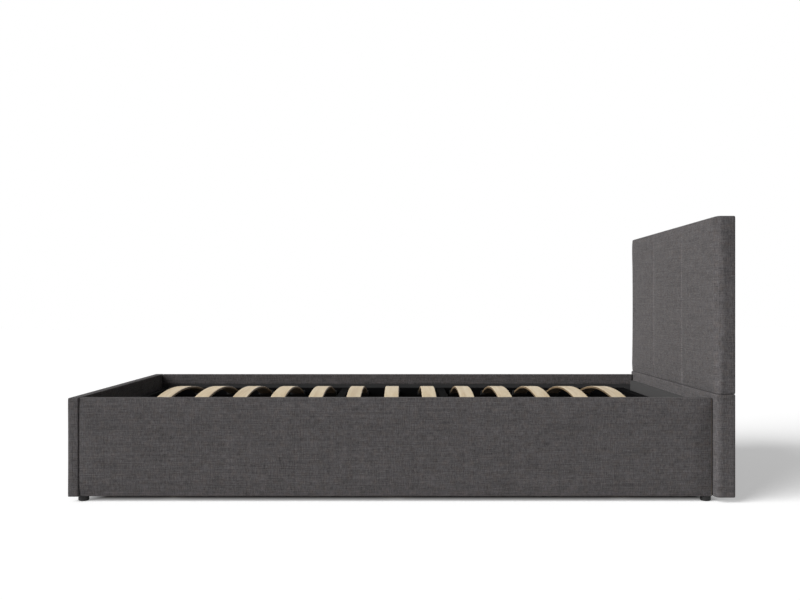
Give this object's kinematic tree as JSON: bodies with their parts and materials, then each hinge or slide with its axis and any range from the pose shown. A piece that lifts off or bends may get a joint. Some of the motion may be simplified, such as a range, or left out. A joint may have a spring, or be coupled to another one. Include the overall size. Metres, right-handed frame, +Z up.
{
  "type": "ottoman storage bed",
  "caption": "Upholstered single bed with a panelled headboard and a bowed-slat platform that lifts on linked arms and gas struts over a storage box.",
  "frame": {"origin": "on the floor, at the middle of the overall length and width", "axes": "+X towards the head of the bed, +Y towards the sleeper's right when lying on the back, +Z up"},
  "size_m": [2, 1, 0.859],
  "materials": {
    "cover_cloth": "woven, dark grey",
    "board": "raw board",
    "dark_liner": "smooth dark lining",
    "softwood": "planed",
    "floor_board": "hardboard",
    "zinc_steel": "zinc plated",
    "frame_black": "black powder coat",
    "linkage_black": "black powder coat",
    "strut_black": "gloss black",
    "strut_chrome": "polished",
    "slat_birch": "clear lacquer",
    "holder_black": "moulded",
    "glide_black": "moulded"
  },
  "bodies": {
    "bed_base": {"left_rail_board": "board", "right_rail_board": "board", "left_rail_liner": "dark_liner", "right_rail_liner": "dark_liner", "left_rail_upholstery": "cover_cloth", "right_rail_upholstery": "cover_cloth", "left_hinge_plate": "linkage_black", "right_hinge_plate": "linkage_black", "footboard_panel": "board", "footboard_upholstery": "cover_cloth", "headboard_lower_panel": "board", "headboard_lower_upholstery": "cover_cloth", "headboard_upper_panel": "board", "headboard_upper_upholstery": "cover_cloth", "headboard_studs": "zinc_steel", "head_liner": "dark_liner", "corner_brackets": "zinc_steel", "corner_bolts": "zinc_steel", "base_battens": "softwood", "batten_brackets": "zinc_steel", "base_panels": "floor_board", "glide_feet": "glide_black", "platform_ledges": "softwood", "hinge_plate_bolts": "zinc_steel", "fixed_pivot_pins": "zinc_steel", "strut_lower_studs": "zinc_steel"},
    "long_arms": {"left_long_arm": "linkage_black", "right_long_arm": "linkage_black"},
    "platform": {"left_side_tube": "frame_black", "right_side_tube": "frame_black", "tube_end_caps": "holder_black", "foot_end_tube": "frame_black", "head_end_tube": "frame_black", "cross_tubes": "frame_black", "slat_01": "slat_birch", "slat_02": "slat_birch", "slat_03": "slat_birch", "slat_04": "slat_birch", "slat_05": "slat_birch", "slat_06": "slat_birch", "slat_07": "slat_birch", "slat_08": "slat_birch", "slat_09": "slat_birch", "slat_10": "slat_birch", "slat_11": "slat_birch", "slat_12": "slat_birch", "slat_13": "slat_birch", "slat_holders": "holder_black", "left_platform_bracket": "linkage_black", "right_platform_bracket": "linkage_black", "platform_bracket_bolts": "zinc_steel", "platform_pivot_pins": "zinc_steel"},
    "short_arms": {"left_short_arm": "linkage_black", "right_short_arm": "linkage_black", "short_arm_rivets": "zinc_steel"},
    "strut_cylinders": {"left_strut_cylinder": "strut_black", "right_strut_cylinder": "strut_black"},
    "strut_rods": {"left_strut_rod": "strut_chrome", "right_strut_rod": "strut_chrome", "strut_upper_studs": "zinc_steel"}
  },
  "joints": [
    {"name": "long_arm_turn", "type": "hinge", "parent": "bed_base", "child": "long_arms", "pos_m": [0.103, 0, 0.205], "axis": [0, -1, 0], "range_deg": [0, 40]},
    {"name": "platform_tilt", "type": "hinge", "parent": "long_arms", "child": "platform", "pos_m": [0.581, 0, 0.246], "axis": [0, 1, 0], "range_deg": [0, 75.06]},
    {"name": "short_arm_turn", "type": "hinge", "parent": "bed_base", "child": "short_arms", "pos_m": [0.06, 0, 0.062], "axis": [0, -1, 0], "range_deg": [0, 36.98]},
    {"name": "strut_turn", "type": "hinge", "parent": "bed_base", "child": "strut_cylinders", "pos_m": [0.43, 0, 0.056], "axis": [0, -1, 0], "range_deg": [0, 47.52]},
    {"name": "strut_stroke", "type": "slide", "parent": "strut_cylinders", "child": "strut_rods", "axis": [0.8589, 0, 0.5121], "range_m": [0, 0.10209]}
  ],
  "couplings": [
    {"joint": "long_arm_turn", "follows": "platform_tilt", "ratio": 0.53294},
    {"joint": "short_arm_turn", "follows": "platform_tilt", "ratio": 0.49266},
    {"joint": "strut_turn", "follows": "platform_tilt", "ratio": 0.63313},
    {"joint": "strut_stroke", "follows": "platform_tilt", "m_per_rad": 0.077931}
  ]
}
